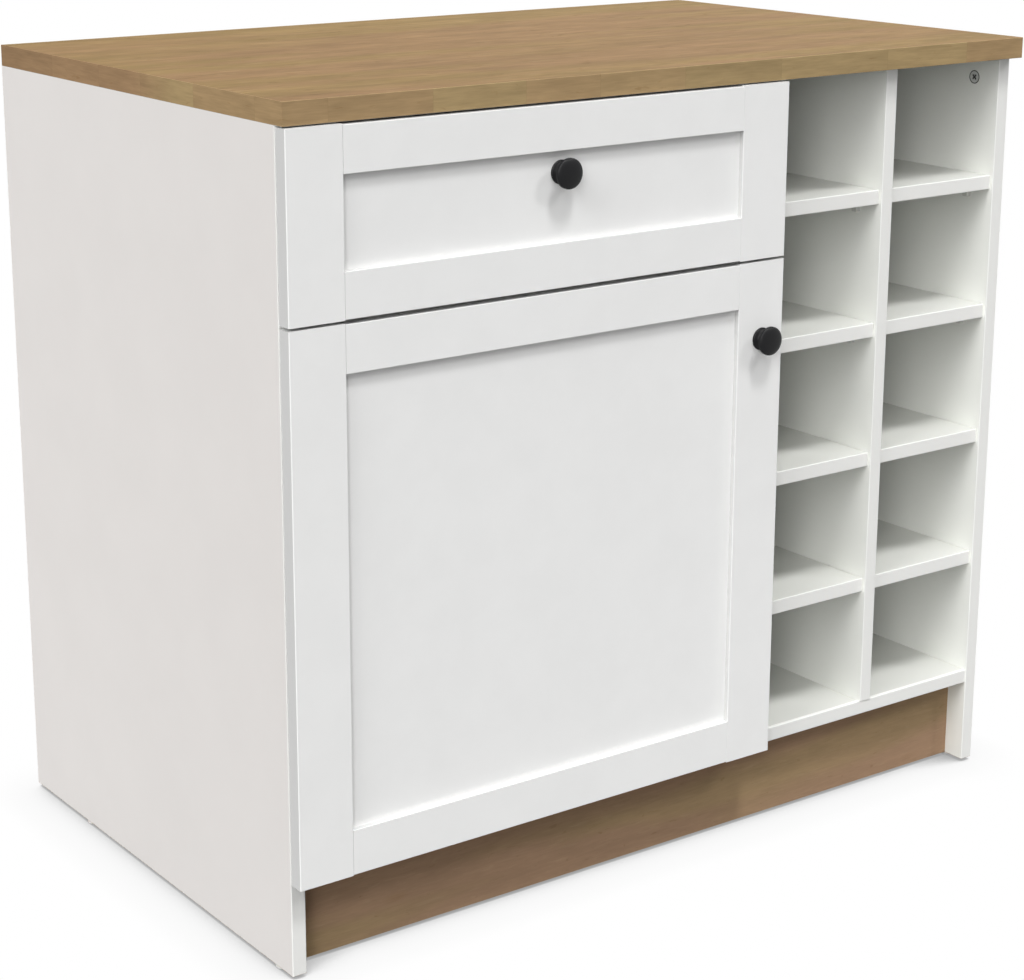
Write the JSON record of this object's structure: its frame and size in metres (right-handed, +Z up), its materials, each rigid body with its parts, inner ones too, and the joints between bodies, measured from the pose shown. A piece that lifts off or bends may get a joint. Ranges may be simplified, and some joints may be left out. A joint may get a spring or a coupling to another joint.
{
  "type": "kitchen storage cabinet",
  "caption": "Kitchen base cabinet with an oak-look worktop, a sliding drawer over a hinged door, and an open bottle rack beside them.",
  "frame": {"origin": "on the floor, under the middle of the whole object's box", "axes": "+Z up, +X to the right as seen from the front, -Y out of the front; the doors and the rack face -Y"},
  "size_m": [0.949, 0.612, 0.86],
  "materials": {
    "oak_laminate": "matt printed oak laminate",
    "white_board": "off-white melamine-faced chipboard",
    "brown_board": "brown oak-look melamine-faced chipboard",
    "hardboard": "thin hardboard, painted white",
    "white_foil": "fibreboard wrapped in matt white foil",
    "dark_metal": "near-black satin paint",
    "zinc": "zinc-plated",
    "nickel_steel": "nickel-plated pressed steel",
    "coated_steel": "white epoxy-coated steel",
    "white_plastic": "moulded white plastic",
    "beech": "fluted beech dowel"
  },
  "bodies": {
    "carcass": {"worktop": "oak_laminate", "left_side_panel": "white_board", "partition_panel": "white_board", "right_side_panel": "white_board", "rack_divider": "white_board", "bottom_panel": "white_board", "drawer_rail": "white_board", "front_plinth": "brown_board", "rear_plinth": "brown_board", "cupboard_back": "hardboard", "rack_back": "hardboard", "cupboard_shelf": "white_board", "rack_shelf_1": "white_board", "rack_shelf_2": "white_board", "rack_shelf_3": "white_board", "rack_shelf_4": "white_board", "rack_shelf_5": "white_board", "rack_shelf_6": "white_board", "rack_shelf_7": "white_board", "rack_shelf_8": "white_board", "shelf_supports": "white_plastic", "cams": "zinc", "cam_bolts": "zinc", "dowels": "beech", "connecting_screws": "zinc", "floor_glides": "white_plastic", "hinge_arms": "nickel_steel", "hinge_plates": "nickel_steel", "cabinet_runner_left": "coated_steel", "cabinet_runner_right": "coated_steel"},
    "drawer": {"drawer_left_stile": "white_foil", "drawer_right_stile": "white_foil", "drawer_top_rail": "white_foil", "drawer_bottom_rail": "white_foil", "drawer_panel": "white_foil", "drawer_knob": "dark_metal", "drawer_knob_screw": "zinc", "drawer_buffers": "white_plastic", "drawer_left_side": "white_board", "drawer_right_side": "white_board", "drawer_box_front": "white_board", "drawer_box_back": "white_board", "drawer_bottom": "hardboard", "drawer_front_screws": "zinc", "drawer_runner_left": "coated_steel", "drawer_runner_right": "coated_steel"},
    "cabinet_roller_pair": {"cabinet_rollers": "white_plastic"},
    "drawer_roller_pair": {"drawer_rollers": "white_plastic"},
    "hinge_link_pair": {"hinge_links": "nickel_steel"},
    "door": {"door_hinge_stile": "white_foil", "door_knob_stile": "white_foil", "door_top_rail": "white_foil", "door_bottom_rail": "white_foil", "door_panel": "white_foil", "door_knob": "dark_metal", "door_knob_screw": "zinc", "door_buffers": "white_plastic", "hinge_cups": "nickel_steel"}
  },
  "joints": [
    {"name": "drawer_slide", "type": "slide", "parent": "carcass", "child": "drawer", "axis": [0, -1, 0], "range_m": [0, 0.36]},
    {"name": "cabinet_roller_spin", "type": "hinge", "parent": "carcass", "child": "cabinet_roller_pair", "pos_m": [-0.1745, -0.241, 0.67255], "axis": [1, 0, 0], "continuous": true},
    {"name": "drawer_roller_spin", "type": "hinge", "parent": "drawer", "child": "drawer_roller_pair", "pos_m": [-0.1745, 0.213, 0.67745], "axis": [1, 0, 0], "continuous": true},
    {"name": "link_swing", "type": "hinge", "parent": "carcass", "child": "hinge_link_pair", "pos_m": [-0.4485, -0.267, 0.37725], "axis": [0, 0, 1], "range_deg": [0, 26.4]},
    {"name": "door_swing", "type": "hinge", "parent": "hinge_link_pair", "child": "door", "pos_m": [-0.4659, -0.2736, 0.37725], "axis": [0, 0, -1], "range_deg": [0, 116.4]}
  ],
  "couplings": [
    {"joint": "cabinet_roller_spin", "follows": "drawer_slide", "rad_per_m": 120.48},
    {"joint": "drawer_roller_spin", "follows": "drawer_slide", "rad_per_m": 120.48},
    {"joint": "link_swing", "follows": "door_swing", "ratio": 0.2268}
  ]
}
